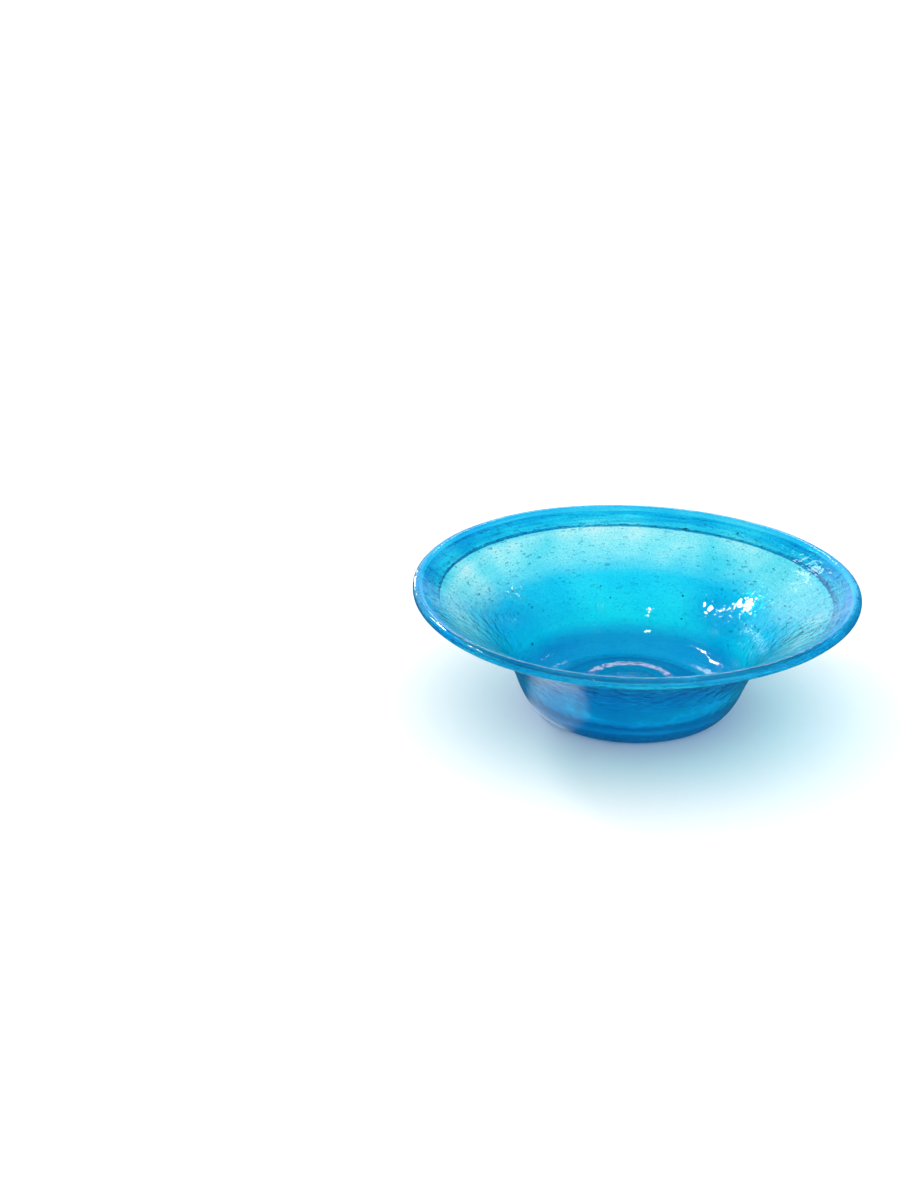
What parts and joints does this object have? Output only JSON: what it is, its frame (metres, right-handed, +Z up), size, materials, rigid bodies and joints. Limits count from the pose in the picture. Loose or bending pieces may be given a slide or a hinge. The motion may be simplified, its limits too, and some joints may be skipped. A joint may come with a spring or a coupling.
{
  "type": "blown glass dish",
  "caption": "Round hand-blown glass dish with a deep narrow body, a wide flared wall, an out-folded double rim, a pushed-up base and a pontil ring.",
  "frame": {"origin": "centre of the resting ring, on the surface the dish stands on", "axes": "+Z up along the axis the dish was turned about; +X and +Y level"},
  "size_m": [0.24, 0.24, 0.0705],
  "materials": {
    "turquoise_glass": "fire-polished, full of small seeds",
    "rim_glass": "fire-polished, double thickness with drawn-out blisters",
    "scar_glass": "broken and lightly ground",
    "stone": "dull"
  },
  "bodies": {
    "root": {"bowl": "turquoise_glass", "folded_rim": "rim_glass", "pontil_scar": "scar_glass", "stone_inclusions": "stone"}
  },
  "joints": []
}
